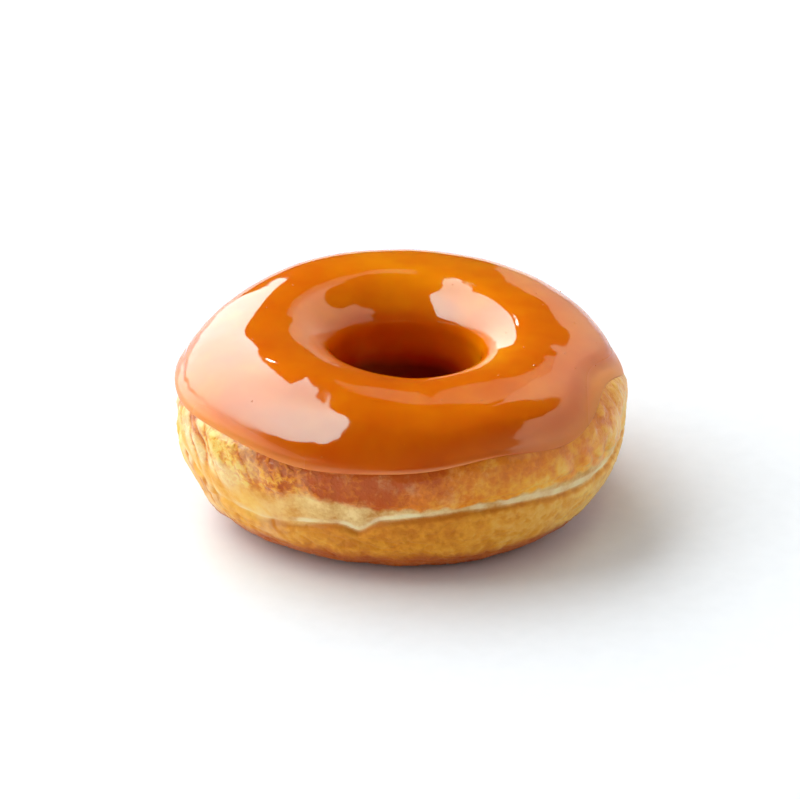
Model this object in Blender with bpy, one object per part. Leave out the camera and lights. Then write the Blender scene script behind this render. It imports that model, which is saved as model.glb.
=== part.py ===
"""Caramel iced ring doughnut: a yeast-raised dough ring under a skin of caramel icing.

Metres, +Z up. The origin is on the surface that the doughnut rests on, under its middle.
The front of the doughnut faces -Y. An azimuth is in radians, anticlockwise from +X.
A place on the ring is given by its azimuth and its distance along the ring's section:
the distance starts at 0 on the crest, grows outwards and down to the foot, and is
negative on the side that goes down into the hole.
"""

import math
import random

import bpy
import numpy as np

# Mean section of the iced ring
OUTER_RADIUS = 0.0441
CREST_RADIUS = 0.0283
HOLE_RADIUS = 0.0145
OUTER_FOOT_RADIUS = 0.0293
INNER_FOOT_RADIUS = 0.0212
CREST_HEIGHT = 0.0373
WIDEST_HEIGHT = 0.0239
RIM_HEIGHT = 0.029
THROAT_HEIGHT = 0.0175

# Roundness of each quarter of the section: 2 is an ellipse, more is squarer
ROUNDNESS_OUTER_TOP = 2.14
ROUNDNESS_OUTER_FOOT = 1.95
ROUNDNESS_HOLE_TOP = 2.2
ROUNDNESS_HOLE_FOOT = 2.2

# Place of the ring's axis, which puts the middle of the uneven doughnut on the origin
AXIS_X = 0.0008
AXIS_Y = -0.0012

# How uneven the ring is, as (waves round the ring, cosine part, sine part)
OUTLINE_WAVES = ((2, 0.00044, 0.00112), (3, -0.00067, -0.00129), (5, 0.00022, -0.00018))
HOLE_WAVES = ((1, 0.0006, 0.0), (2, 0.00015, 0.0002), (3, -0.0002, 0.0003))
HEIGHT_WAVES = ((1, -0.00218, 0.00064), (3, 0.0003, -0.0002), (4, -0.0002, 0.0002))

# Crease left by the frying line, and the pale band of risen dough above it
CREASE_HEIGHT = 0.0164
CREASE_WAVES = (
    (1, -0.0001, 0.0017),
    (2, 0.0007, -0.0009),
    (3, -0.0013, 0.0007),
    (4, 0.0008, 0.0005),
    (5, 0.0001, -0.0008),
    (6, 0.0007, 0.0004),
)
CREASE_DEPTH = 0.0011
CREASE_SOFTNESS = 0.0009
BAND_TOP_HEIGHT = 0.0201
BAND_TOP_WAVES = (
    (1, -0.0012, 0.0011),
    (2, 0.0011, 0.0004),
    (3, -0.0010, -0.0003),
    (4, 0.0004, 0.0008),
    (5, -0.0007, 0.0002),
)
BAND_LEAST_WIDTH = 0.0012
BAND_DEPTH = 0.0006
OVERHANG_WIDTH = 0.0016

# Drop of pale dough that hangs over the crease, left of the front
DROP_AZIMUTH = math.radians(257.5)
DROP_HALF_WIDTH = 0.0026
DROP_LENGTH = 0.0022

# Pleats pulled into the crust above the band
PLEAT_COUNT = 44
PLEAT_DEPTH = 0.0010
PLEAT_HALF_WIDTH = 0.0016
PLEAT_REACH = 0.0052
PLEAT_SEED = 11

# Caramel icing
ICING_EDGE_HEIGHT = 0.0271
ICING_EDGE_WAVES = (
    (1, -0.0003, -0.0001),
    (2, 0.0004, -0.0005),
    (3, -0.0002, -0.0011),
    (4, 0.0002, -0.0001),
    (5, 0.0003, -0.0005),
    (6, -0.0001, -0.0005),
    (7, -0.0002, -0.0003),
    (8, -0.0002, -0.0001),
    (9, -0.0004, -0.0001),
)
ICING_INNER_EDGE_HEIGHT = 0.0125
ICING_INNER_EDGE_WAVES = ((1, 0.0008, 0.0005), (3, 0.0007, -0.0006), (5, 0.0004, 0.0005))
ICING_THICKNESS = 0.0009
ICING_LIP_THICKNESS = 0.001
ICING_LIP_WIDTH = 0.0012
ICING_EDGE_THICKNESS = 0.0003
ICING_GAP = 0.0003
ICING_SINK_WIDTH = 0.005

# Faces
RING_STEPS = 104
TABLE_STEPS = 400


def quarter_turn(roundness, steps=TABLE_STEPS):
    """Across and up parts, each from 0 to 1, along a quarter of a superellipse."""
    angle = np.linspace(0.0, math.pi / 2, steps)
    across = np.sin(angle) ** (2 / roundness)
    up = np.cos(angle) ** (2 / roundness)
    return across, up


def outer_side():
    """Radius and height from the crest, over the widest place, to the outer foot."""
    across, up = quarter_turn(ROUNDNESS_OUTER_TOP)
    top_radius = CREST_RADIUS + (OUTER_RADIUS - CREST_RADIUS) * across
    top_height = WIDEST_HEIGHT + (CREST_HEIGHT - WIDEST_HEIGHT) * up
    across, up = quarter_turn(ROUNDNESS_OUTER_FOOT)
    foot_radius = OUTER_FOOT_RADIUS + (OUTER_RADIUS - OUTER_FOOT_RADIUS) * up
    foot_height = WIDEST_HEIGHT * (1 - across)
    return np.append(top_radius, foot_radius[1:]), np.append(top_height, foot_height[1:])


def hole_side():
    """Radius and height from the crest, over the rim, down the straight wall, to the inner foot."""
    across, up = quarter_turn(ROUNDNESS_HOLE_TOP)
    top_radius = CREST_RADIUS - (CREST_RADIUS - HOLE_RADIUS) * across
    top_height = RIM_HEIGHT + (CREST_HEIGHT - RIM_HEIGHT) * up
    across, up = quarter_turn(ROUNDNESS_HOLE_FOOT)
    foot_radius = INNER_FOOT_RADIUS - (INNER_FOOT_RADIUS - HOLE_RADIUS) * up
    foot_height = THROAT_HEIGHT * (1 - across)
    return np.append(top_radius, foot_radius), np.append(top_height, foot_height)


def distances(radius, height):
    """Distance along the section to each of its points."""
    steps = np.hypot(np.diff(radius), np.diff(height))
    return np.append(0.0, np.cumsum(steps))


OUTER_SIDE = outer_side()
HOLE_SIDE = hole_side()
OUTER_DISTANCES = distances(*OUTER_SIDE)
HOLE_DISTANCES = distances(*HOLE_SIDE)
OUTER_FOOT = OUTER_DISTANCES[-1]
INNER_FOOT = -HOLE_DISTANCES[-1]
RIM_DISTANCE = -HOLE_DISTANCES[TABLE_STEPS - 1]
SECTION_DISTANCES = np.append(-HOLE_DISTANCES[:0:-1], OUTER_DISTANCES)
SECTION_RADII = np.append(HOLE_SIDE[0][:0:-1], OUTER_SIDE[0])
SECTION_HEIGHTS = np.append(HOLE_SIDE[1][:0:-1], OUTER_SIDE[1])


def waves(azimuth, parts):
    """Sum of waves round the ring."""
    total = np.zeros_like(azimuth)
    for count, cosine, sine in parts:
        total = total + cosine * np.cos(count * azimuth) + sine * np.sin(count * azimuth)
    return total


def smooth_step(value):
    """Smooth rise from 0 to 1 as the value goes from 0 to 1."""
    value = np.clip(value, 0.0, 1.0)
    return value * value * (3 - 2 * value)


def height_scale(azimuth, radius):
    """How much taller than its mean the ring is at this azimuth and radius."""
    return 1 + waves(azimuth, HEIGHT_WAVES) * radius / (OUTER_RADIUS * CREST_HEIGHT)


def plain_surface(azimuth, distance):
    """Points of the iced ring's uneven but smooth surface."""
    radius = np.interp(distance, SECTION_DISTANCES, SECTION_RADII)
    height = np.interp(distance, SECTION_DISTANCES, SECTION_HEIGHTS)
    outwards = (radius - HOLE_RADIUS) / (OUTER_RADIUS - HOLE_RADIUS)
    uneven = outwards * waves(azimuth, OUTLINE_WAVES) + (1 - outwards) * waves(azimuth, HOLE_WAVES)
    x = AXIS_X + (radius + uneven) * np.cos(azimuth)
    y = AXIS_Y + (radius + uneven) * np.sin(azimuth)
    z = height * height_scale(azimuth, radius)
    return np.stack((x, y, z), axis=-1)


def outward_normals(azimuth, distance):
    """Unit normals of the smooth surface."""
    step = 1e-5
    along = plain_surface(azimuth, distance + step) - plain_surface(azimuth, distance - step)
    turn = step / OUTER_RADIUS
    around = plain_surface(azimuth + turn, distance) - plain_surface(azimuth - turn, distance)
    normal = np.cross(along, around)
    return normal / np.linalg.norm(normal, axis=-1, keepdims=True)


def outer_distance(azimuth, height):
    """Distance along the section at which the outer side comes down to this height."""
    mean_height = height / height_scale(azimuth, OUTER_RADIUS)
    return np.interp(-mean_height, -OUTER_SIDE[1], OUTER_DISTANCES)


def hole_distance(azimuth, height):
    """Distance along the section at which the side of the hole comes down to this height."""
    mean_height = height / height_scale(azimuth, HOLE_RADIUS)
    return -np.interp(-mean_height, -HOLE_SIDE[1], HOLE_DISTANCES)


def crease_distance(azimuth):
    aside = np.angle(np.exp(1j * (azimuth - DROP_AZIMUTH))) * OUTER_RADIUS
    drop = DROP_LENGTH * np.exp(-((aside / DROP_HALF_WIDTH) ** 2))
    return outer_distance(azimuth, CREASE_HEIGHT + waves(azimuth, CREASE_WAVES)) + drop


def band_top_distance(azimuth):
    """Distance at which the upper crust ends and the pale band starts."""
    top = outer_distance(azimuth, BAND_TOP_HEIGHT + waves(azimuth, BAND_TOP_WAVES))
    return np.minimum(top, crease_distance(azimuth) - BAND_LEAST_WIDTH)


def icing_edge(azimuth):
    return outer_distance(azimuth, ICING_EDGE_HEIGHT + waves(azimuth, ICING_EDGE_WAVES))


def icing_inner_edge(azimuth):
    height = ICING_INNER_EDGE_HEIGHT + waves(azimuth, ICING_INNER_EDGE_WAVES)
    return hole_distance(azimuth, height)


def crease_relief(azimuth, distance):
    """The crease with its sharp lower lip, and the band sunk under the upper crust."""
    crease = crease_distance(azimuth)
    band_top = band_top_distance(azimuth)
    below = np.maximum(distance - crease, 0.0)
    lip = CREASE_DEPTH * np.exp(-((below / CREASE_SOFTNESS) ** 2))
    across_band = smooth_step((crease - distance) / (crease - band_top))
    floor = CREASE_DEPTH + (BAND_DEPTH - CREASE_DEPTH) * across_band
    overhang = 1 - smooth_step((band_top - distance) / OVERHANG_WIDTH)
    return -np.where(distance > crease, lip, floor * overhang)


def pleat_relief(azimuth, distance):
    """Furrows that run up the crust from the band, deepest at the left and the right."""
    draw = random.Random(PLEAT_SEED)
    above = band_top_distance(azimuth) - distance
    relief = np.zeros(np.broadcast(azimuth, distance).shape)
    for index in range(PLEAT_COUNT):
        place = 2 * math.pi * (index + draw.uniform(-0.35, 0.35)) / PLEAT_COUNT
        side = 0.35 + 0.65 * math.cos(place) ** 2
        depth = PLEAT_DEPTH * side * draw.uniform(0.35, 1.0)
        lean = draw.uniform(-0.35, 0.35)
        reach = PLEAT_REACH * draw.uniform(0.7, 1.2)
        turn = np.angle(np.exp(1j * (azimuth - place)))
        aside = turn * OUTER_RADIUS - lean * above
        furrow = np.exp(-((aside / PLEAT_HALF_WIDTH) ** 2))
        relief = relief - depth * furrow * np.exp(-(((above - 0.45 * reach) / (0.6 * reach)) ** 2))
    return relief


def sink_under_icing(azimuth, distance):
    """Depth by which the dough lies under the iced ring's surface."""
    from_outer = (icing_edge(azimuth) - distance) / ICING_SINK_WIDTH
    from_inner = (distance - icing_inner_edge(azimuth)) / ICING_SINK_WIDTH
    covered = smooth_step(from_outer + 0.6) * smooth_step(from_inner + 0.6)
    return (ICING_GAP + ICING_THICKNESS) * covered


def dough_surface(azimuth, distance):
    """Points of the dough, also where the icing covers it."""
    depth = sink_under_icing(azimuth, distance)
    relief = crease_relief(azimuth, distance) + pleat_relief(azimuth, distance)
    on_side = smooth_step((distance - 0.5 * icing_edge(azimuth)) / ICING_SINK_WIDTH)
    offset = relief * on_side - depth
    points = plain_surface(azimuth, distance)
    return points + outward_normals(azimuth, distance) * offset[..., None]


def icing_thickness(azimuth, distance):
    """Thickness of the icing: even on top, a bead at the edge, closed by a round lip."""
    from_edge = np.minimum(icing_edge(azimuth) - distance, distance - icing_inner_edge(azimuth))
    bead = ICING_LIP_THICKNESS - ICING_THICKNESS
    body = ICING_THICKNESS + bead * np.exp(-((from_edge / ICING_LIP_WIDTH - 1) ** 2))
    rounding = np.sqrt(1 - (1 - np.clip(from_edge / ICING_LIP_WIDTH, 0.0, 1.0)) ** 2)
    return ICING_EDGE_THICKNESS + (body - ICING_EDGE_THICKNESS) * rounding


def icing_surface(azimuth, distance, thickness):
    """Points on the icing at this thickness over its underside."""
    normal = outward_normals(azimuth, distance)
    return dough_surface(azimuth, distance) + normal * (ICING_GAP + thickness)[..., None]


def stretches(stops, counts):
    """Rows of distances that run from stop to stop, with the given number of steps between."""
    rows = []
    for start, stop, count in zip(stops, stops[1:], counts):
        for step in range(count):
            rows.append(start + (stop - start) * step / count)
    return np.stack(rows)


def covered_rows(azimuth):
    """Distances of the rows that the dough and the icing's underside share, edge to edge."""
    ones = np.ones_like(azimuth)
    stops = (icing_inner_edge(azimuth), RIM_DISTANCE * ones, 0.0 * ones, icing_edge(azimuth))
    return np.vstack((stretches(stops, (2, 5, 6)), stops[-1]))


def dough_rows(azimuth):
    """Distances of the dough's rows, which follow the icing's edges, the band and the crease."""
    ones = np.ones_like(azimuth)
    crease = crease_distance(azimuth)
    band_top = band_top_distance(azimuth)
    hole_stops = (INNER_FOOT * ones, icing_inner_edge(azimuth))
    side_stops = (
        icing_edge(azimuth),
        band_top - OVERHANG_WIDTH,
        band_top,
        crease,
        crease + CREASE_SOFTNESS,
        crease + 2.4 * CREASE_SOFTNESS,
        OUTER_FOOT * ones,
    )
    hole_rows = stretches(hole_stops, (4,))
    side_rows = stretches(side_stops, (3, 2, 2, 1, 1, 6))
    return np.vstack((hole_rows, covered_rows(azimuth)[:-1], side_rows, OUTER_FOOT * ones))


def icing_rows(azimuth):
    """Distances of the rows on top of the icing, close together at its two edges."""
    ones = np.ones_like(azimuth)
    outer = icing_edge(azimuth)
    inner = icing_inner_edge(azimuth)
    stops = (
        inner,
        inner + ICING_LIP_WIDTH,
        RIM_DISTANCE * ones,
        0.0 * ones,
        outer - ICING_LIP_WIDTH,
        outer,
    )
    return np.vstack((stretches(stops, (2, 2, 5, 5, 2)), outer))


def closed_ring(name, rows_of_points, material):
    """Object whose rows of points each run round the ring, the last joined to the first."""
    row_count, ring_count = rows_of_points.shape[:2]
    points = rows_of_points.reshape(-1, 3)
    faces = []
    for row in range(row_count):
        next_row = (row + 1) % row_count
        for step in range(ring_count):
            next_step = (step + 1) % ring_count
            corners = (
                row * ring_count + step,
                next_row * ring_count + step,
                next_row * ring_count + next_step,
                row * ring_count + next_step,
            )
            faces.append(corners)
    mesh = bpy.data.meshes.new(name)
    mesh.from_pydata(points.tolist(), [], faces)
    mesh.validate()
    mesh.shade_smooth()
    mesh.materials.append(material)
    piece = bpy.data.objects.new(name, mesh)
    bpy.context.scene.collection.objects.link(piece)
    return piece


def surface_material(name, color, roughness, coat=0.0):
    material = bpy.data.materials.new(name)
    material.use_nodes = True
    shader = material.node_tree.nodes["Principled BSDF"]
    shader.inputs["Base Color"].default_value = (*color, 1.0)
    shader.inputs["Roughness"].default_value = roughness
    shader.inputs["Metallic"].default_value = 0.0
    shader.inputs["Coat Weight"].default_value = coat
    return material


def clear_scene():
    for item in list(bpy.data.objects):
        bpy.data.objects.remove(item, do_unlink=True)


def make_dough(azimuth):
    rows = dough_rows(azimuth)
    points = dough_surface(np.broadcast_to(azimuth, rows.shape), rows)
    points[..., 2] = np.maximum(points[..., 2], 0.0)
    points[0, :, 2] = 0.0
    points[-1, :, 2] = 0.0
    return closed_ring("dough", points, surface_material("fried_dough", (0.56, 0.29, 0.08), 0.55))


def make_icing(azimuth):
    rows = icing_rows(azimuth)
    azimuths = np.broadcast_to(azimuth, rows.shape)
    top = icing_surface(azimuths, rows, icing_thickness(azimuths, rows))
    underside_rows = covered_rows(azimuth)[::-1]
    azimuths = np.broadcast_to(azimuth, underside_rows.shape)
    underside = icing_surface(azimuths, underside_rows, np.zeros(underside_rows.shape))
    material = surface_material("caramel_icing", (0.58, 0.17, 0.01), 0.12, coat=0.6)
    return closed_ring("icing", np.concatenate((top, underside)), material)


def make_doughnut():
    clear_scene()
    azimuth = np.linspace(0.0, 2 * math.pi, RING_STEPS, endpoint=False)
    make_dough(azimuth)
    make_icing(azimuth)


make_doughnut()
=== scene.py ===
import math
import random

import bmesh
import bpy
import numpy as np
from mathutils import Matrix, Vector
from mathutils.geometry import tessellate_polygon


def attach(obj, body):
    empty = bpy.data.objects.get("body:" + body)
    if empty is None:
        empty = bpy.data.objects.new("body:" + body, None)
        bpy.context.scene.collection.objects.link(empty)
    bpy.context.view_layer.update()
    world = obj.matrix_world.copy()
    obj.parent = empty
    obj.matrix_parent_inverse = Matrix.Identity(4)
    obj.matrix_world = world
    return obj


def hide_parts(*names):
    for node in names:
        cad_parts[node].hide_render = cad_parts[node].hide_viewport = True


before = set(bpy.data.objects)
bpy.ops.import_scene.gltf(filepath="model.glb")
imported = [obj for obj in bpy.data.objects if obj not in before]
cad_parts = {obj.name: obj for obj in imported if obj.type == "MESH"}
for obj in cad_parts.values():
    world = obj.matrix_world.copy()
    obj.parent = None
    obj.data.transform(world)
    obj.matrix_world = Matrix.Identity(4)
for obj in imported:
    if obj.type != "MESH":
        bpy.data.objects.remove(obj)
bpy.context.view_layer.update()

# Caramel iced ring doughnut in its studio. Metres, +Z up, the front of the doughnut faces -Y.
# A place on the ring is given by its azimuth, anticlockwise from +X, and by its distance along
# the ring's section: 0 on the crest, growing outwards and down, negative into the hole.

# Mean section of the iced ring
OUTER_RADIUS = 0.0441
CREST_RADIUS = 0.0283
HOLE_RADIUS = 0.0145
OUTER_FOOT_RADIUS = 0.0293
INNER_FOOT_RADIUS = 0.0212
CREST_HEIGHT = 0.0373
WIDEST_HEIGHT = 0.0239
RIM_HEIGHT = 0.029
THROAT_HEIGHT = 0.0175
ROUNDNESS_OUTER_TOP = 2.14
ROUNDNESS_OUTER_FOOT = 1.95
ROUNDNESS_HOLE_TOP = 2.2
ROUNDNESS_HOLE_FOOT = 2.2
AXIS_X = 0.0008
AXIS_Y = -0.0012

# How uneven the ring is, here and below as (waves round the ring, cosine part, sine part)
OUTLINE_WAVES = ((2, 0.00044, 0.00112), (3, -0.00067, -0.00129), (5, 0.00022, -0.00018))
HOLE_WAVES = ((1, 0.0006, 0.0), (2, 0.00015, 0.0002), (3, -0.0002, 0.0003))
HEIGHT_WAVES = ((1, -0.00218, 0.00064), (3, 0.0003, -0.0002), (4, -0.0002, 0.0002))

# Low swells and hollows of the iced top: azimuth and half width in degrees, then distance along
# the section, half length and height in millimetres
SWELLS = (
    (60, 30, -7.5, 8.5, 0.45),
    (115, 65, -5.3, 4.0, 0.42),
    (184, 39, 7.0, 4.9, -0.68),
    (234, 24, 2.5, 8.5, 0.41),
    (287, 26, 5.0, 7.8, -0.48),
    (342, 70, 3.3, 7.9, -0.68),
    (189, 9, 0.5, 4.0, -0.26),
    (222, 13, -5.6, 3.8, 0.12),
    (344, 10, -0.5, 3.0, 0.2),
    (133, 16, -4.0, 3.5, -0.18),
)

# Crease left by the frying line, and the pale band above it
CREASE_HEIGHT = 0.0164
CREASE_WAVES = (
    (1, -0.0001, 0.0017),
    (2, 0.0007, -0.0009),
    (3, -0.0013, 0.0007),
    (4, 0.0008, 0.0005),
    (5, 0.0001, -0.0008),
    (6, 0.0007, 0.0004),
)
CREASE_DEPTH = 0.0011
CREASE_SOFTNESS = 0.0009
BAND_TOP_HEIGHT = 0.0201
BAND_TOP_WAVES = (
    (1, -0.0012, 0.0011),
    (2, 0.0011, 0.0004),
    (3, -0.0010, -0.0003),
    (4, 0.0004, 0.0008),
    (5, -0.0007, 0.0002),
)
BAND_LEAST_WIDTH = 0.0012
BAND_DEPTH = 0.0006
BAND_TOP_FADE = 0.0012
CREASE_FADE = 0.0008
OVERHANG_WIDTH = 0.0016
FAINT_CREASE_AZIMUTHS = (210, 18)
FAINT_CREASE_LOSS = 0.6
DROP_AZIMUTH = math.radians(257.5)
DROP_HALF_WIDTH = 0.0026
DROP_LENGTH = 0.0022

# Pleats pulled into the crust above the band
PLEAT_COUNT = 44
PLEAT_DEPTH = 0.0010
PLEAT_HALF_WIDTH = 0.0016
PLEAT_REACH = 0.0052
PLEAT_LEAN = 0.35
PLEAT_SHIFT = 0.35
PLEAT_SEED = 11

# Noise in the surface, as (width of its features, seed)
LUMPS = (0.009, 1)
SMALL_LUMPS = (0.004, 12)
FOLD_SWAY = (0.008, 2)
FOLDS = (0.0046, 3)
FINE_FOLDS = (0.0021, 8)
VEIN_BEND = (0.005, 14)
VEINS = (0.0032, 4)
FINE_VEINS = (0.0015, 13)
FURROWS = (0.0075, 5)
PORES = (0.0012, 6)
GRAINS = (0.0015, 10)
FINE_GRAINS = (0.0008, 9)
FIBRES = (0.0016, 7)
ICING_SWELLS = (0.012, 21)
ICING_DIMPLES = (0.0045, 22)
ICING_RIPPLES = (0.0014, 23)
ICING_WRINKLES = (0.0024, 24)
GROOVE_WANDER = (0.003, 25)
COLOR_WANDER = (0.006, 31)
COLOR_FLECKS = (0.002, 32)
LINE_GAPS = (0.0045, 33)

# How far the noise stands out, and how soon it does below the icing's edge
BARE_CRUST_FADE = 0.0016
LUMP_HEIGHT = 0.0003
SMALL_LUMP_HEIGHT = 0.00012
FOLD_HEIGHT = 0.0007
VEIN_HEIGHT = 0.00013
VEIN_BEND_LENGTH = 0.0009
FURROW_DEPTH = 0.0003
PORE_DEPTH = 0.00014
GRAIN_HEIGHT = 0.00017
FIBRE_HEIGHT = 0.00009
ICING_SWELL_HEIGHT = 0.00014
ICING_DIMPLE_HEIGHT = 0.00003
ICING_RIPPLE_HEIGHT = 0.000004
ICING_WRINKLE_HEIGHT = 0.00006

# Sectors of the crust, as (azimuth, half width) in degrees
GRAINY_SECTORS = ((236, 15), (75, 24), (135, 16))
FOLDED_SECTORS = ((196, 24, 1.0), (332, 26, 0.75), (44, 32, 0.4), (100, 30, 0.4), (150, 30, 0.7))
LEAST_FOLDS = 0.14
FOLDED_TO_FOOT_SECTOR = (207, 26)
BROAD_BAND_SECTOR = (250, 16)
RAISED_BAND_SECTOR = (335, 25)
LEFT_CRUST = (203, 22)
RIGHT_CRUST = (335, 30)
SOFT_BAND_EDGE_SECTOR = (240, 18)
TOASTED_SECTORS = ((260, 22, 1.0), (232, 12, 0.3), (110, 40, 0.6))
PALE_UPPER_SECTOR = (352, 20)
# Where the painted shade in the fold creases is weakened
EVEN_FOLD_SHADE_SECTOR = (346, 38)
BAKED_SECTOR = (268, 26)
FOLD_SHADE_LOWER_SECTOR = (205, 28)
CREAM_LOST_SECTOR = (206, 32)
FOLD_HIGHLIGHT_SECTOR = (203, 26)
EVEN_COLOR_SECTOR = (328, 38)
BROAD_LINE_HIGHLIGHT_SECTOR = (310, 30)
FOOT_WIDTH = 0.0135

# Caramel icing
ICING_EDGE_HEIGHT = 0.0271
ICING_EDGE_WAVES = (
    (1, -0.0003, -0.0001),
    (2, 0.0004, -0.0005),
    (3, -0.0002, -0.0011),
    (4, 0.0002, -0.0001),
    (5, 0.0003, -0.0005),
    (6, -0.0001, -0.0005),
    (7, -0.0002, -0.0003),
    (8, -0.0002, -0.0001),
    (9, -0.0004, -0.0001),
)
ICING_INNER_EDGE_HEIGHT = 0.0125
ICING_INNER_EDGE_WAVES = ((1, 0.0008, 0.0005), (3, 0.0007, -0.0006), (5, 0.0004, 0.0005))
ICING_THICKNESS = 0.0009
ICING_EDGE_THICKNESS = 0.0002
ICING_GAP = 0.0003
ICING_SINK_WIDTH = 0.005
BEAD_PLACE = 0.0014
BEAD_HALF_WIDTH = 0.0014
BEAD_HEIGHT = 0.00014
GROOVE_PLACE = 0.0032
GROOVE_HALF_WIDTH = 0.0005
GROOVE_DEPTH = 0.00018
BEAD_AZIMUTHS = (194, 20)
THIN_EDGE_AZIMUTHS = (345, 50)
THIN_EDGE_WIDTH = 0.008
ICING_LIP = 0.0014
SHOULDER_SECTOR = (184, 16)

# Depth of the caramel's colour, and sectors of its colour, its painted light and shade, its painted
# reflection and its gloss
CARAMEL_DEPTH = 0.34
BUBBLE_DEPTH = 0.35
HOLE_LIT_SECTOR = (8, 32)
LIT_BACK_ICING = (80, 50)
LIT_LEFT_ICING = (195, 40)
RIGHT_ICING = (345, 45)
LIT_HOLE_SLOPE_SECTOR = (335, 30)
LEFT_REFLECTION_EDGE = (220, 34)
FRONT_REFLECTION_EDGE = (275, 30)
LEFT_DULL_EDGE = (226, 26)
RIGHT_DULL_SIDE = (356, 44)

# Air bubbles in the icing
BUBBLE_COUNT = 36
BUBBLE_RADII = (0.00012, 0.00026)
BUBBLE_SEED = 5

# Colours as they look on a screen, from 0 to 255; in a ramp, each follows its place
UPPER_CRUST_COLORS = (
    (0.0, 255, 214, 106),
    (0.3, 248, 172, 46),
    (0.6, 230, 128, 20),
    (1.0, 196, 84, 6),
)
LOWER_CRUST_COLORS = ((0.0, 255, 204, 104), (0.5, 234, 158, 46), (1.0, 208, 122, 24))
CREAM_BAND_COLORS = ((0.38, 252, 220, 152), (0.62, 208, 148, 64))
GOLD_BAND_COLORS = ((0.3, 255, 206, 104), (0.7, 242, 160, 50))
FOOT_COLORS = ((0.3, 216, 122, 48), (0.7, 176, 80, 34))
# Pale crease line, brightened as a painted highlight
CREASE_LINE_AND_HIGHLIGHT_COLOR = (255, 238, 190)
# Painted highlight on the fold crests
FOLD_HIGHLIGHT_COLOR = (255, 230, 176)
CARAMEL_COLORS = (
    (0.0, 255, 156, 4),
    (0.1, 247, 148, 2),
    (0.3, 231, 116, 2),
    (0.55, 214, 88, 1),
    (0.78, 176, 40, 2),
    (1.0, 112, 12, 1),
)
# Caramel thin over the crust, also the colour of the painted reflection on the icing's edge
THIN_CARAMEL_AND_REFLECTION_COLOR = (250, 168, 84)

# Linear colours of the floor, the room and the lights
FLOOR_COLORS = ((0.3, (0.835, 0.87, 0.9)), (0.7, (0.855, 0.89, 0.92)))
ROOM_COLOR = (1.0, 0.97, 0.94)
WHITE = (1.0, 1.0, 1.0)
SOFTBOX_COLOR = (0.6, 0.99, 0.98)
REFLECTOR_COLOR = (1.0, 1.03, 0.82)

# Noise in the materials, as (width of its features, detail, roughness, distortion)
MOTTLE = (0.006, 3.0, 0.5, 0.0)
CRUST_GRAIN = (0.0009, 3.0, 0.65, 0.0)
CRUST_SPECKS = (0.0013, 2.0, 0.6, 0.4)
CRUST_POWDER = (0.0005, 3.0, 0.7, 0.0)
POWDER_RELIEF = 0.00007
SPECK_RELIEF = 0.00025
CARAMEL_CLOUDS = (0.009, 2.0, 0.5, 0.0)
CARAMEL_CLOUD_SHARE = 0.3
PAPER_GRAIN = (0.004, 3.0, 0.5, 0.0)

# Mesh: steps round the ring, and between one named row of the surface and the next
RING_STEPS = 760
DOUGH_ROW_STEPS = (10, 12, 22, 5, 10, 4, 46, 12)
ICING_ROW_STEPS = (5, 12, 17, 48, 14, 10)
UNDERSIDE_ROW_STEPS = (13,)
TABLE_STEPS = 400
BUBBLE_SEGMENTS = 14
BUBBLE_RINGS = 9

# Camera: the foot's pixel is where the ring's axis meets the floor, far below the horizon
CAMERA_ELEVATION = math.radians(28.0)
HORIZON_PIXELS = 2940
FOCAL_PIXELS = HORIZON_PIXELS / math.tan(CAMERA_ELEVATION)
IMAGE_PIXELS = 800
PIXELS_PER_METRE = 5000.0
FOOT_PIXEL_X = 405.48
FOOT_PIXEL_Y = 491.47
SENSOR_WIDTH_MM = 36.0
CAMERA_NEAR = 0.05
CAMERA_FAR = 50.0

# Studio: sheets of light at this distance, weaker below this height, and the floor
PANEL_DISTANCE = 2.0
FULL_GLOW_HEIGHT = 1.2
LOW_GLOW = 0.5
ROOM_GLOW = 0.03
FLOOR_SIZE = 3.2
FLOOR_DROP = 0.00005


def quarter_turn(roundness, steps=TABLE_STEPS):
    """Across and up parts, each from 0 to 1, along a quarter of a superellipse."""
    angle = np.linspace(0.0, math.pi / 2, steps)
    across = np.sin(angle) ** (2 / roundness)
    up = np.cos(angle) ** (2 / roundness)
    return across, up


def outer_side():
    """Radius and height from the crest, over the widest place, to the outer foot."""
    across, up = quarter_turn(ROUNDNESS_OUTER_TOP)
    top_radius = CREST_RADIUS + (OUTER_RADIUS - CREST_RADIUS) * across
    top_height = WIDEST_HEIGHT + (CREST_HEIGHT - WIDEST_HEIGHT) * up
    across, up = quarter_turn(ROUNDNESS_OUTER_FOOT)
    foot_radius = OUTER_FOOT_RADIUS + (OUTER_RADIUS - OUTER_FOOT_RADIUS) * up
    foot_height = WIDEST_HEIGHT * (1 - across)
    return np.append(top_radius, foot_radius[1:]), np.append(top_height, foot_height[1:])


def hole_side():
    """Radius and height from the crest, over the rim, down the straight wall, to the inner foot."""
    across, up = quarter_turn(ROUNDNESS_HOLE_TOP)
    top_radius = CREST_RADIUS - (CREST_RADIUS - HOLE_RADIUS) * across
    top_height = RIM_HEIGHT + (CREST_HEIGHT - RIM_HEIGHT) * up
    across, up = quarter_turn(ROUNDNESS_HOLE_FOOT)
    foot_radius = INNER_FOOT_RADIUS - (INNER_FOOT_RADIUS - HOLE_RADIUS) * up
    foot_height = THROAT_HEIGHT * (1 - across)
    return np.append(top_radius, foot_radius), np.append(top_height, foot_height)


def distances(radius, height):
    """Distance along the section to each of its points."""
    steps = np.hypot(np.diff(radius), np.diff(height))
    return np.append(0.0, np.cumsum(steps))


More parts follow.
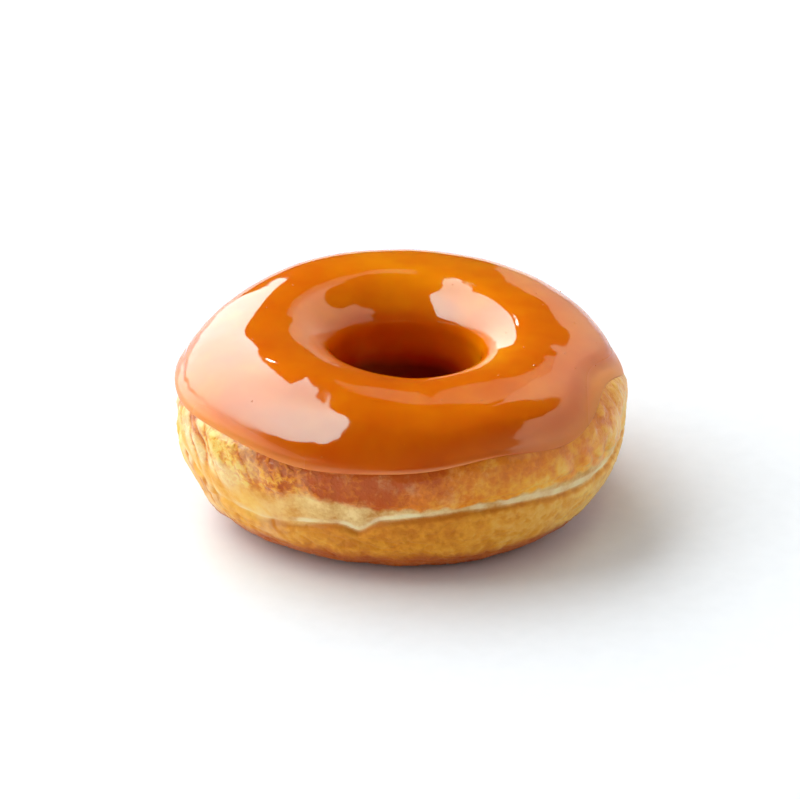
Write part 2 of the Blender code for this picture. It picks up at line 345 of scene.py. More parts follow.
OUTER_SIDE = outer_side()
HOLE_SIDE = hole_side()
OUTER_DISTANCES = distances(*OUTER_SIDE)
HOLE_DISTANCES = distances(*HOLE_SIDE)
OUTER_FOOT = OUTER_DISTANCES[-1]
INNER_FOOT = -HOLE_DISTANCES[-1]
RIM_DISTANCE = -HOLE_DISTANCES[TABLE_STEPS - 1]
SECTION_DISTANCES = np.append(-HOLE_DISTANCES[:0:-1], OUTER_DISTANCES)
SECTION_RADII = np.append(HOLE_SIDE[0][:0:-1], OUTER_SIDE[0])
SECTION_HEIGHTS = np.append(HOLE_SIDE[1][:0:-1], OUTER_SIDE[1])
RING_AZIMUTHS = np.linspace(0.0, 2 * math.pi, RING_STEPS, endpoint=False)


def waves(azimuth, parts):
    """Sum of waves round the ring."""
    total = np.zeros_like(azimuth)
    for count, cosine, sine in parts:
        total = total + cosine * np.cos(count * azimuth) + sine * np.sin(count * azimuth)
    return total


def smooth_step(value):
    """Smooth rise from 0 to 1 as the value goes from 0 to 1."""
    value = np.clip(value, 0.0, 1.0)
    return value * value * (3 - 2 * value)


def gradient_noise(points, cell, seed):
    """Perlin noise, about -1 to 1, with features about one cell wide."""
    generator = np.random.default_rng(seed)
    order = generator.permutation(256)
    gradients = generator.normal(size=(256, 3))
    gradients /= np.linalg.norm(gradients, axis=1, keepdims=True)
    place = points / cell
    corner = np.floor(place).astype(np.int64)
    inside = place - corner
    blend = inside**3 * (inside * (inside * 6 - 15) + 10)
    total = np.zeros(points.shape[:-1])
    for step_x in (0, 1):
        for step_y in (0, 1):
            for step_z in (0, 1):
                step = np.array((step_x, step_y, step_z))
                index = corner + step
                key = order[index[..., 0] & 255]
                key = order[(key + index[..., 1]) & 255]
                key = order[(key + index[..., 2]) & 255]
                value = np.sum(gradients[key] * (inside - step), axis=-1)
                weight = np.prod(np.where(step == 1, blend, 1 - blend), axis=-1)
                total += value * weight
    return total * 1.6


def near_azimuth(azimuth, middle, half_width):
    """1 at this azimuth in degrees, fading to 0 about two half widths away."""
    turn = np.degrees(np.angle(np.exp(1j * (azimuth - math.radians(middle)))))
    return np.exp(-((turn / half_width) ** 2))


def height_scale(azimuth, radius):
    """How much taller than its mean the ring is at this azimuth and radius."""
    return 1 + waves(azimuth, HEIGHT_WAVES) * radius / (OUTER_RADIUS * CREST_HEIGHT)


def swept_surface(azimuth, distance):
    """Points of the mean section swept round the uneven ring."""
    radius = np.interp(distance, SECTION_DISTANCES, SECTION_RADII)
    height = np.interp(distance, SECTION_DISTANCES, SECTION_HEIGHTS)
    outwards = (radius - HOLE_RADIUS) / (OUTER_RADIUS - HOLE_RADIUS)
    uneven = outwards * waves(azimuth, OUTLINE_WAVES) + (1 - outwards) * waves(azimuth, HOLE_WAVES)
    x = AXIS_X + (radius + uneven) * np.cos(azimuth)
    y = AXIS_Y + (radius + uneven) * np.sin(azimuth)
    z = height * height_scale(azimuth, radius)
    return np.stack((x, y, z), axis=-1)


def unit_normals(surface, azimuth, distance):
    """Unit normals of a surface that is given by azimuth and distance."""
    step = 1e-4
    distance = np.clip(distance, INNER_FOOT + 2 * step, OUTER_FOOT - 2 * step)
    along = surface(azimuth, distance + step) - surface(azimuth, distance - step)
    turn = step / OUTER_RADIUS
    around = surface(azimuth + turn, distance) - surface(azimuth - turn, distance)
    normal = np.cross(along, around)
    return normal / np.linalg.norm(normal, axis=-1, keepdims=True)


def swells(azimuth, distance):
    """Height of the swells over the swept surface."""
    height = np.zeros(np.broadcast(azimuth, distance).shape)
    for middle, half_width, place, half_length, tall in SWELLS:
        along = np.exp(-(((distance * 1000 - place) / half_length) ** 2))
        height = height + 0.001 * tall * along * near_azimuth(azimuth, middle, half_width)
    return height


def plain_surface(azimuth, distance):
    """Points of the iced ring's uneven but smooth surface."""
    normal = unit_normals(swept_surface, azimuth, distance)
    return swept_surface(azimuth, distance) + normal * swells(azimuth, distance)[..., None]


def outward_normals(azimuth, distance):
    return unit_normals(plain_surface, azimuth, distance)


def outer_distance(azimuth, height):
    """Distance along the section at which the outer side comes down to this height."""
    mean_height = height / height_scale(azimuth, OUTER_RADIUS)
    return np.interp(-mean_height, -OUTER_SIDE[1], OUTER_DISTANCES)


def hole_distance(azimuth, height):
    """Distance along the section at which the side of the hole comes down to this height."""
    mean_height = height / height_scale(azimuth, HOLE_RADIUS)
    return -np.interp(-mean_height, -HOLE_SIDE[1], HOLE_DISTANCES)


def crease_distance(azimuth):
    """Distance at which the frying line runs, a little further down at the drop."""
    aside = np.angle(np.exp(1j * (azimuth - DROP_AZIMUTH))) * OUTER_RADIUS
    drop = DROP_LENGTH * np.exp(-((aside / DROP_HALF_WIDTH) ** 2))
    return outer_distance(azimuth, CREASE_HEIGHT + waves(azimuth, CREASE_WAVES)) + drop


def band_top_distance(azimuth):
    """Distance at which the upper crust ends and the pale band starts."""
    top = outer_distance(azimuth, BAND_TOP_HEIGHT + waves(azimuth, BAND_TOP_WAVES))
    return np.minimum(top, crease_distance(azimuth) - BAND_LEAST_WIDTH)


def icing_edge(azimuth):
    return outer_distance(azimuth, ICING_EDGE_HEIGHT + waves(azimuth, ICING_EDGE_WAVES))


def icing_inner_edge(azimuth):
    height = ICING_INNER_EDGE_HEIGHT + waves(azimuth, ICING_INNER_EDGE_WAVES)
    return hole_distance(azimuth, height)


def crease_relief(azimuth, distance):
    """The crease with its sharp lower lip, and the band sunk under the upper crust."""
    crease = crease_distance(azimuth)
    band_top = band_top_distance(azimuth)
    below = np.maximum(distance - crease, 0.0)
    faint = 1 - FAINT_CREASE_LOSS * near_azimuth(azimuth, *FAINT_CREASE_AZIMUTHS)
    lip = CREASE_DEPTH * np.exp(-((below / CREASE_SOFTNESS) ** 2))
    across_band = smooth_step((crease - distance) / (crease - band_top))
    floor = CREASE_DEPTH + (BAND_DEPTH - CREASE_DEPTH) * across_band
    overhang = 1 - smooth_step((band_top - distance) / OVERHANG_WIDTH)
    return -faint * np.where(distance > crease, lip, floor * overhang)


def pleat_relief(azimuth, distance):
    """Furrows that run up the crust from the band, deepest at the left and the right."""
    draw = random.Random(PLEAT_SEED)
    above = band_top_distance(azimuth) - distance
    relief = np.zeros(np.broadcast(azimuth, distance).shape)
    for index in range(PLEAT_COUNT):
        place = 2 * math.pi * (index + draw.uniform(-PLEAT_SHIFT, PLEAT_SHIFT)) / PLEAT_COUNT
        side = 0.35 + 0.65 * math.cos(place) ** 2
        depth = PLEAT_DEPTH * side * draw.uniform(0.35, 1.0)
        lean = draw.uniform(-PLEAT_LEAN, PLEAT_LEAN)
        reach = PLEAT_REACH * draw.uniform(0.7, 1.2)
        turn = np.angle(np.exp(1j * (azimuth - place)))
        aside = turn * OUTER_RADIUS - lean * above
        furrow = np.exp(-((aside / PLEAT_HALF_WIDTH) ** 2))
        along = np.exp(-(((above - 0.45 * reach) / (0.6 * reach)) ** 2))
        relief = relief - depth * furrow * along
    return relief


def sink_under_icing(azimuth, distance):
    """Depth by which the dough lies under the iced ring's surface."""
    from_outer = (icing_edge(azimuth) - distance) / ICING_SINK_WIDTH
    from_inner = (distance - icing_inner_edge(azimuth)) / ICING_SINK_WIDTH
    covered = smooth_step(from_outer + 0.35) * smooth_step(from_inner + 0.6)
    return (ICING_GAP + ICING_THICKNESS) * covered


def ring_space(azimuth, distance, stretch):
    """Points for noise that runs round the ring without a seam, stretched down its side."""
    x = OUTER_RADIUS * np.cos(azimuth)
    y = OUTER_RADIUS * np.sin(azimuth)
    return np.stack((x, y, distance / stretch), axis=-1)


def grainy(azimuth):
    """Where the upper crust is torn into fine grains: left of the front, and twice at the back."""
    return sum(near_azimuth(azimuth, *sector) for sector in GRAINY_SECTORS)


def painted_band_top(azimuth):
    """Distance at which the browned crust gives way to the pale band."""
    share = 0.5 + 0.45 * near_azimuth(azimuth, *BROAD_BAND_SECTOR)
    share = share + 0.1 * near_azimuth(azimuth, *RAISED_BAND_SECTOR)
    crease = crease_distance(azimuth)
    return crease - share * (crease - band_top_distance(azimuth))


def crust_zones(azimuth, distance):
    """How much a place belongs to the upper crust, the pale band and the lower crust."""
    band_top = band_top_distance(azimuth)
    crease = crease_distance(azimuth)
    upper = smooth_step((band_top - distance) / BAND_TOP_FADE)
    lower = smooth_step((distance - crease) / CREASE_FADE)
    return upper, (1 - upper) * (1 - lower), lower


def crust_folds(azimuth, distance):
    """Rounded folds that lean down the crust: 0 in the creases between them, about 1 on top."""
    square = ring_space(azimuth, distance, 1.0)
    sway = 0.03 * gradient_noise(square, *FOLD_SWAY) - 6.0 * (distance - 0.03)
    tall = ring_space(azimuth + sway, distance, 2.8)
    coarse = np.abs(gradient_noise(tall, *FOLDS)) ** 0.7
    fine = np.abs(gradient_noise(tall, *FINE_FOLDS)) ** 0.8
    return 1.3 * coarse + 0.45 * fine


def fold_strength(azimuth):
    """How deep the folds are: most at the left, and large and soft at the right."""
    sectors = (weight * near_azimuth(azimuth, *sector) for *sector, weight in FOLDED_SECTORS)
    return LEAST_FOLDS + sum(sectors)


def crust_veins(azimuth, distance):
    """Net of fine ridges that the crust wrinkles into, from -1 between them to 1 on top."""
    square = ring_space(azimuth, distance, 1.0)
    bend = VEIN_BEND_LENGTH * gradient_noise(square, *VEIN_BEND)
    bent = square + bend[..., None]
    coarse = 1 - 2 * np.abs(gradient_noise(bent, *VEINS))
    fine = 1 - 2 * np.abs(gradient_noise(bent, *FINE_VEINS))
    return 0.65 * coarse + 0.35 * fine


def fine_crust_relief(azimuth, distance):
    """Lumps, folds, wrinkles and pores of the fried crust."""
    edge = icing_edge(azimuth)
    square = ring_space(azimuth, distance, 1.0)
    upper, band, lower = crust_zones(azimuth, distance)
    bare = smooth_step((distance - edge) / BARE_CRUST_FADE)
    lumps = LUMP_HEIGHT * gradient_noise(square, *LUMPS)
    lumps = lumps + SMALL_LUMP_HEIGHT * gradient_noise(square, *SMALL_LUMPS)
    folded = upper + (band + 0.8 * lower) * near_azimuth(azimuth, *FOLDED_TO_FOOT_SECTOR)
    folds = FOLD_HEIGHT * (crust_folds(azimuth, distance) - 0.6) * folded * fold_strength(azimuth)
    veins = VEIN_HEIGHT * crust_veins(azimuth, distance) * (0.4 * upper + 0.3 * band + lower)
    across = ring_space(azimuth, distance, 0.4)
    furrow = 1 - 2 * np.abs(gradient_noise(across, *FURROWS))
    furrows = -FURROW_DEPTH * smooth_step((furrow - 0.8) / 0.2) * lower
    pore = gradient_noise(square, *PORES)
    pores = -PORE_DEPTH * smooth_step((pore - 0.38) / 0.3) * (0.5 * upper + lower)
    grain = gradient_noise(square, *FINE_GRAINS) + gradient_noise(square, *GRAINS)
    grains = GRAIN_HEIGHT * grain * upper * (0.25 + grainy(azimuth))
    fibre = gradient_noise(ring_space(azimuth, distance, 0.5), *FIBRES)
    fibres = FIBRE_HEIGHT * fibre * band
    return (lumps + folds + veins + furrows + pores + grains + fibres) * bare


def dough_surface(azimuth, distance):
    """Points of the dough, also where the icing covers it."""
    depth = sink_under_icing(azimuth, distance)
    relief = crease_relief(azimuth, distance) + pleat_relief(azimuth, distance)
    relief = relief + fine_crust_relief(azimuth, distance)
    on_side = smooth_step((distance - 0.5 * icing_edge(azimuth)) / ICING_SINK_WIDTH)
    offset = relief * on_side - depth
    points = plain_surface(azimuth, distance)
    return points + outward_normals(azimuth, distance) * offset[..., None]


def icing_undulation(azimuth, distance):
    """Low swells and fine ripples of the set icing."""
    points = plain_surface(azimuth, distance)
    swell = ICING_SWELL_HEIGHT * gradient_noise(points, *ICING_SWELLS)
    dimples = ICING_DIMPLE_HEIGHT * gradient_noise(points, *ICING_DIMPLES)
    ripples = ICING_RIPPLE_HEIGHT * gradient_noise(points, *ICING_RIPPLES)
    shoulder = near_azimuth(azimuth, *SHOULDER_SECTOR) * smooth_step((distance - 0.009) / 0.004)
    wrinkles = ICING_WRINKLE_HEIGHT * gradient_noise(points, *ICING_WRINKLES) * shoulder
    return swell + dimples + ripples + wrinkles


def icing_thickness(azimuth, distance):
    """Thickness of the icing: even on top, a bead at its outer edge, closed by a round lip."""
    from_outer = icing_edge(azimuth) - distance
    from_inner = distance - icing_inner_edge(azimuth)
    from_edge = np.minimum(from_outer, from_inner)
    full = near_azimuth(azimuth, *BEAD_AZIMUTHS)
    bead = BEAD_HEIGHT * full * np.exp(-(((from_outer - BEAD_PLACE) / BEAD_HALF_WIDTH) ** 2))
    wander = gradient_noise(ring_space(azimuth, distance, 3.0), *GROOVE_WANDER)
    from_groove = from_outer - GROOVE_PLACE - 0.0009 * wander
    groove = np.exp(-((from_groove / GROOVE_HALF_WIDTH) ** 2))
    groove = GROOVE_DEPTH * full * (1 + wander) * groove
    thin = near_azimuth(azimuth, *THIN_EDGE_AZIMUTHS)
    body = ICING_THICKNESS * (1 - 0.7 * thin) + bead - groove
    inside = smooth_step((from_outer - 0.003) / (THIN_EDGE_WIDTH - 0.003))
    body = body + (ICING_THICKNESS - body) * inside
    rounding = np.sqrt(1 - (1 - np.clip(from_edge / ICING_LIP, 0.0, 1.0)) ** 2)
    calm = smooth_step(from_edge / 0.003)
    body = body + icing_undulation(azimuth, distance) * calm
    least = ICING_EDGE_THICKNESS * (1 - 0.6 * thin)
    return least + (body - least) * rounding


def icing_surface(azimuth, distance, thickness):
    """Points on the icing at this thickness over its underside."""
    base = plain_surface(azimuth, distance)
    normal = outward_normals(azimuth, distance)
    from_outer = icing_edge(azimuth) - distance
    from_inner = distance - icing_inner_edge(azimuth)
    gap = ICING_GAP * smooth_step(np.minimum(from_outer, from_inner) / 0.002)
    over = gap + thickness - sink_under_icing(azimuth, distance)
    return base + normal * over[..., None]


def stretches(stops, counts):
    """Rows of distances that run from stop to stop, with the given number of steps between."""
    rows = []
    for start, stop, count in zip(stops, stops[1:], counts):
        for step in range(count):
            rows.append(start + (stop - start) * step / count)
    return np.stack(rows)


def dough_rows(azimuth):
    """Distances of the dough's rows, close together where the crust shows."""
    ones = np.ones_like(azimuth)
    crease = crease_distance(azimuth)
    band_top = band_top_distance(azimuth)
    stops = (
        INNER_FOOT * ones,
        icing_inner_edge(azimuth),
        icing_edge(azimuth) - 0.001,
        band_top - OVERHANG_WIDTH,
        band_top,
        crease,
        crease + CREASE_SOFTNESS,
        np.minimum(crease + 0.018, OUTER_FOOT - 0.004),
        OUTER_FOOT * ones,
    )
    return np.vstack((stretches(stops, DOUGH_ROW_STEPS), OUTER_FOOT * ones))


def icing_rows(azimuth):
    """Distances of the rows on top of the icing, close together at its two edges."""
    ones = np.ones_like(azimuth)
    outer = icing_edge(azimuth)
    inner = icing_inner_edge(azimuth)
    stops = (
        inner,
        inner + 0.0012,
        (RIM_DISTANCE - 0.002) * ones,
        (RIM_DISTANCE + 0.005) * ones,
        outer - 0.005,
        outer - 0.0012,
        outer,
    )
    return np.vstack((stretches(stops, ICING_ROW_STEPS), outer))


def new_object(name, data):
    item = bpy.data.objects.new(name, data)
    bpy.context.scene.collection.objects.link(item)
    return item


def closed_ring(name, rows_of_points, material):
    """Object whose rows of points each run round the ring, the last joined to the first."""
    row_count, ring_count = rows_of_points.shape[:2]
    index = np.arange(row_count * ring_count).reshape(row_count, ring_count)
    below = np.roll(index, -1, axis=0)
    corners = (index, below, np.roll(below, -1, axis=1), np.roll(index, -1, axis=1))
    faces = np.stack(corners, axis=-1).reshape(-1, 4)
    mesh = bpy.data.meshes.new(name)
    mesh.from_pydata(rows_of_points.reshape(-1, 3).tolist(), [], faces.tolist())
    mesh.validate()
    mesh.shade_smooth()
    mesh.materials.append(material)
    return new_object(name, mesh)


def keep_values(piece, name, values):
    """Stores one number per point of the mesh for its material."""
    attribute = piece.data.attributes.new(name, "FLOAT", "POINT")
    attribute.data.foreach_set("value", np.ascontiguousarray(values, dtype=np.float32).ravel())


def from_screen(red, green, blue):
    """Linear colour for one given as 0 to 255 on a screen."""
    values = np.array((red, green, blue)) / 255
    linear = np.where(values <= 0.04045, values / 12.92, ((values + 0.055) / 1.055) ** 2.4)
    return tuple(float(value) for value in linear)


def socket(tree, target, value):
    """Sets an input to a number or colour, or links it to an output."""
    if isinstance(value, bpy.types.NodeSocket):
        tree.links.new(value, target)
    else:
        target.default_value = value


def calculate(tree, operation, first, second=0.0, third=0.0, clamp=False):
    node = tree.nodes.new("ShaderNodeMath")
    node.operation = operation
    node.use_clamp = clamp
    for target, value in zip(node.inputs, (first, second, third)):
        socket(tree, target, value)
    return node.outputs[0]


def stored(tree, name):
    node = tree.nodes.new("ShaderNodeAttribute")
    node.attribute_name = name
    return node.outputs["Fac"]


def object_points(tree):
    return tree.nodes.new("ShaderNodeTexCoord").outputs["Object"]


def noise(tree, points, cell, detail, roughness, distortion):
    """Noise from 0 to 1 with features about one cell wide."""
    node = tree.nodes.new("ShaderNodeTexNoise")
    socket(tree, node.inputs["Vector"], points)
    node.inputs["Scale"].default_value = 1 / cell
    node.inputs["Detail"].default_value = detail
    node.inputs["Roughness"].default_value = roughness
    node.inputs["Distortion"].default_value = distortion
    return node.outputs["Fac"]


def spread(tree, value, low, high, to_low=0.0, to_high=1.0):
    """Maps low..high onto to_low..to_high, and stops there."""
    node = tree.nodes.new("ShaderNodeMapRange")
    for name, number in zip(("Value", "From Min", "From Max", "To Min", "To Max"),
                            (value, low, high, to_low, to_high)):
        socket(tree, node.inputs[name], number)
    return node.outputs[0]


def ramp(tree, factor, stops):
    """Colour that goes through the given (place, colour) stops."""
    node = tree.nodes.new("ShaderNodeValToRGB")
    elements = node.color_ramp.elements
    while len(elements) < len(stops):
        elements.new(0.5)
    for element, (place, color) in zip(elements, stops):
        element.position = place
        element.color = (*color, 1.0)
    tree.links.new(factor, node.inputs["Fac"])
    return node.outputs["Color"]


def screen_ramp(tree, factor, stops):
    """Colour that goes through stops of (place, red, green, blue), from 0 to 255 on a screen."""
    return ramp(tree, factor, [(place, from_screen(*color)) for place, *color in stops])


def blend_colors(tree, factor, first, second):
    """Colour that goes from the first to the second as the factor goes from 0 to 1."""
    node = tree.nodes.new("ShaderNodeMix")
    node.data_type = "RGBA"
    socket(tree, node.inputs["Factor"], factor)
    color_inputs = [item for item in node.inputs if item.type == "RGBA"]
    for target, value in zip(color_inputs, (first, second)):
        value = (*value, 1.0) if isinstance(value, tuple) else value
        socket(tree, target, value)
    return [item for item in node.outputs if item.type == "RGBA"][0]


def bump(tree, height, depth, before=None):
    node = tree.nodes.new("ShaderNodeBump")
    node.inputs["Strength"].default_value = 1.0
    node.inputs["Distance"].default_value = depth
    tree.links.new(height, node.inputs["Height"])
    if before is not None:
        tree.links.new(before, node.inputs["Normal"])
    return node.outputs["Normal"]


def new_material(name):
    material = bpy.data.materials.new(name)
    material.use_nodes = True
    return material, material.node_tree, material.node_tree.nodes["Principled BSDF"]


def dough_material():
    """Fried crust: golden below, browner above, pale in the band, red-brown at the foot."""
    material, tree, shader = new_material("fried_dough_crust")
    points = object_points(tree)

    # Mottling in two sizes, and dark specks where the crust is torn into grains: partly the crust's
    # own colour, partly painted shade in the pits that the bump sinks there
    mottle = noise(tree, points, *MOTTLE)
    grain = noise(tree, points, *CRUST_GRAIN)
    speck = spread(tree, noise(tree, points, *CRUST_SPECKS), 0.36, 0.64, -1.0, 1.0)
    speck = calculate(tree, "MULTIPLY", speck, stored(tree, "grain"))
    both = calculate(tree, "MULTIPLY_ADD", grain, 0.3, calculate(tree, "MULTIPLY", mottle, 0.7))
    shift = calculate(tree, "SUBTRACT", both, 0.5)
    shift = calculate(tree, "MULTIPLY", shift, stored(tree, "blotch"))

    # Colours of the parts
    toast = calculate(tree, "ADD", shift, stored(tree, "toast"))
    # Painted shade in the creases between the folds, where the fold mask is low
    hollow_shade = calculate(tree, "SUBTRACT", 1.0, stored(tree, "fold_shade"))
    toast = calculate(tree, "MULTIPLY_ADD", hollow_shade, 0.55, toast)
    toast = calculate(tree, "MULTIPLY_ADD", speck, 0.34, toast, clamp=True)
    upper_color = screen_ramp(tree, toast, UPPER_CRUST_COLORS)
    baked_and_shade = calculate(tree, "ADD", shift, stored(tree, "baked_and_shade"))
    baked_and_shade = calculate(tree, "MULTIPLY_ADD", speck, 0.3, baked_and_shade)
    baked_and_shade = calculate(tree, "MULTIPLY_ADD", stored(tree, "vein"), -0.3, baked_and_shade, clamp=True)
    lower_color = screen_ramp(tree, baked_and_shade, LOWER_CRUST_COLORS)
    cream_color = screen_ramp(tree, both, CREAM_BAND_COLORS)
    gold_color = screen_ramp(tree, both, GOLD_BAND_COLORS)
    band_color = blend_colors(tree, stored(tree, "cream"), gold_color, cream_color)
    foot_color = screen_ramp(tree, both, FOOT_COLORS)

    # The parts joined, with ragged edges
    color = blend_colors(tree, stored(tree, "lower"), band_color, lower_color)
    # Pale crease line, brightened as a painted highlight
    color = blend_colors(tree, stored(tree, "line"), color, from_screen(*CREASE_LINE_AND_HIGHLIGHT_COLOR))
    ragged = calculate(tree, "MULTIPLY_ADD", shift, 1.4, stored(tree, "upper"), clamp=True)
    color = blend_colors(tree, ragged, color, upper_color)
    # Painted highlight on the fold crests
    color = blend_colors(tree, stored(tree, "pale"), color, from_screen(*FOLD_HIGHLIGHT_COLOR))
    ragged = calculate(tree, "MULTIPLY_ADD", shift, 0.7, stored(tree, "foot"), clamp=True)
    color = blend_colors(tree, ragged, color, foot_color)
    tree.links.new(color, shader.inputs["Base Color"])

    # Gloss, translucence and the finest relief
    glaze = stored(tree, "glaze")
    roughness = calculate(tree, "MULTIPLY_ADD", glaze, -0.2, 0.48)
    roughness = calculate(tree, "MULTIPLY_ADD", grain, 0.1, roughness)
    tree.links.new(roughness, shader.inputs["Roughness"])
    tree.links.new(calculate(tree, "MULTIPLY", glaze, 0.7), shader.inputs["Coat Weight"])
    shader.inputs["Coat Roughness"].default_value = 0.08
    shader.inputs["Specular IOR Level"].default_value = 0.15
    shader.inputs["Subsurface Weight"].default_value = 0.25
    shader.inputs["Subsurface Radius"].default_value = (1.0, 0.5, 0.2)
    shader.inputs["Subsurface Scale"].default_value = 0.0015
    relief = bump(tree, noise(tree, points, *CRUST_POWDER), POWDER_RELIEF)
    between_specks = calculate(tree, "MULTIPLY_ADD", speck, -0.5, 0.5)
    relief = bump(tree, between_specks, SPECK_RELIEF, relief)
    tree.links.new(relief, shader.inputs["Normal"])
    return material


def icing_material():
    """Caramel: paler where it is thin and where a reflection is painted, red-brown where it is deep
    and where shade is painted, and dull where it has dried.
    """
    material, tree, shader = new_material("caramel_icing_skin")
    points = object_points(tree)
    depth = stored(tree, "depth")
    cloud = noise(tree, points, *CARAMEL_CLOUDS)
    varied = calculate(tree, "MULTIPLY_ADD", cloud, CARAMEL_CLOUD_SHARE, depth)
    varied = calculate(tree, "SUBTRACT", varied, 0.5 * CARAMEL_CLOUD_SHARE, clamp=True)
    color = screen_ramp(tree, varied, CARAMEL_COLORS)
    # Paler where the icing is thin at the right, and a painted reflection along its edge at the
    # left and the front
    color = blend_colors(tree, stored(tree, "thin"), color, from_screen(*THIN_CARAMEL_AND_REFLECTION_COLOR))
    tree.links.new(color, shader.inputs["Base Color"])
    dull = stored(tree, "dull")
    tree.links.new(calculate(tree, "MULTIPLY_ADD", dull, 0.36, 0.05), shader.inputs["Roughness"])
    specular = calculate(tree, "MULTIPLY_ADD", dull, -0.3, 0.5)
    tree.links.new(specular, shader.inputs["Specular IOR Level"])
    shader.inputs["IOR"].default_value = 1.49
    shader.inputs["Subsurface Weight"].default_value = 0.35
    shader.inputs["Subsurface Radius"].default_value = (1.0, 0.35, 0.08)
    shader.inputs["Subsurface Scale"].default_value = 0.0012
    return material


def crust_masks(azimuth, distance):
    """Numbers for the dough's material at each point."""
    band_top = painted_band_top(azimuth)
    crease = crease_distance(azimuth)
    edge = icing_edge(azimuth)
    square = ring_space(azimuth, distance, 1.0)
    wander = gradient_noise(square, *COLOR_WANDER)
    flecks = gradient_noise(square, *COLOR_FLECKS)
    left = near_azimuth(azimuth, *LEFT_CRUST)
    right = near_azimuth(azimuth, *RIGHT_CRUST)

    # Upper crust, lower crust and foot, with ragged edges that are widest at the left
    ragged = 0.0006 * wander + 0.0008 * flecks + left * (0.0016 * wander + 0.001 * flecks)
    fade = 0.0011 + 0.0026 * near_azimuth(azimuth, *SOFT_BAND_EDGE_SECTOR) + 0.003 * left
    upper = smooth_step((band_top - distance + ragged) / fade)
    below_crease = distance - crease + 0.0002 * wander + 2 * left * ragged
    lower = smooth_step(below_crease / (0.0006 + 0.003 * left))
    on_foot = distance - (OUTER_FOOT - FOOT_WIDTH) + 0.0014 * wander + 0.0006 * flecks
    foot = smooth_step(on_foot / 0.004)

    # Folds, with painted shade in the creases between them
    crest = smooth_step((crust_folds(azimuth, distance) - 0.15) / 0.75)
    painted = 1.3 * fold_strength(azimuth) - 0.8 * near_azimuth(azimuth, *EVEN_FOLD_SHADE_SECTOR)
    fold_shade = 1 - (1 - crest) * np.clip(painted, 0.1, 1.0)
    # Painted highlight on the crests of the folds at the left
    pale = smooth_step(0.5 + 1.0 * wander + 0.4 * flecks)
    pale = 0.75 * near_azimuth(azimuth, *FOLD_HIGHLIGHT_SECTOR) * pale
    pale = pale * smooth_step(crest * 1.4 - 0.1)

    # How brown the upper and the lower crust are, with painted shade in the fold creases and under
    # the crease
    below_edge = (distance - edge) / np.maximum(band_top - edge, 0.002)
    toasted = sum(weight * near_azimuth(azimuth, *sector) for *sector, weight in TOASTED_SECTORS)
    toast = 0.3 + 0.55 * toasted - 0.5 * left + (0.2 - 0.12 * right) * wander
    toast = toast - 0.2 * near_azimuth(azimuth, *PALE_UPPER_SECTOR)
    toast = toast + 0.22 * (1 - smooth_step(1.4 * below_edge))
    baked_and_shade = 0.72 + 0.2 * near_azimuth(azimuth, *BAKED_SECTOR)
    baked_and_shade = baked_and_shade - 0.45 * right - 0.3 * left + 0.16 * wander
    # Painted shade in the fold creases down to the foot at the left
    baked_and_shade = baked_and_shade + 0.5 * (1 - crest) * near_azimuth(azimuth, *FOLD_SHADE_LOWER_SECTOR)
    # Painted shadow in a thin line just under the crease
    baked_and_shade = baked_and_shade + 0.5 * np.exp(-(((distance - crease - 0.0006) / 0.0004) ** 2))

    # Gloss under the icing's edge, at the sides and on the torn grains
    glaze = 0.5 - 0.5 * smooth_step(0.9 * below_edge - 0.2 + 0.3 * wander)
    glossy = np.clip(0.9 * left + 0.7 * right + 0.4 * grainy(azimuth), 0.0, 1.0)
    glaze = np.maximum(glaze, glossy * (upper + 0.5 * lower))

    # Pale line just above the crease, broken here and there: partly the dough's own pale line,
    # partly a painted highlight along it, widest at the right front
    line_width = 0.0012 + 0.0008 * near_azimuth(azimuth, *BROAD_LINE_HIGHLIGHT_SECTOR)
    line_top = crease - line_width + 0.0003 * wander + 0.0002 * flecks
    line = smooth_step((distance - line_top) / 0.0009)
    line = line * (1 - smooth_step((distance - crease) / 0.0003)) * (1 - 0.8 * left)
    line = line * np.clip(0.6 + 0.8 * gradient_noise(square, *LINE_GAPS), 0.1, 0.9)

    return {
        "upper": upper,
        "lower": lower,
        "foot": foot,
        "toast": toast,
        "fold_shade": fold_shade,
        "baked_and_shade": baked_and_shade,
        "grain": 0.3 + 0.7 * np.clip(grainy(azimuth) + 0.5 * left, 0.0, 1.0) * upper,
        "glaze": glaze,
        "cream": 1 - smooth_step(1.3 * near_azimuth(azimuth, *CREAM_LOST_SECTOR)),
        "vein": smooth_step((crust_veins(azimuth, distance) - 0.1) / 0.7),
        "line": line,
        "pale": pale,
        "blotch": (1 - 0.45 * lower) * (1 - 0.75 * near_azimuth(azimuth, *EVEN_COLOR_SECTOR)),
    }


def make_dough():
    """The fried ring, with all that shows of its crust in the mesh."""
    rows = dough_rows(RING_AZIMUTHS)
    azimuths = np.broadcast_to(RING_AZIMUTHS, rows.shape)
    points = dough_surface(azimuths, rows)
    points[..., 2] = np.maximum(points[..., 2], 0.0)
    piece = closed_ring("dough_crust", points, dough_material())
    for name, values in crust_masks(azimuths, rows).items():
        keep_values(piece, name, values)
    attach(piece, "root")
    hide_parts("dough")


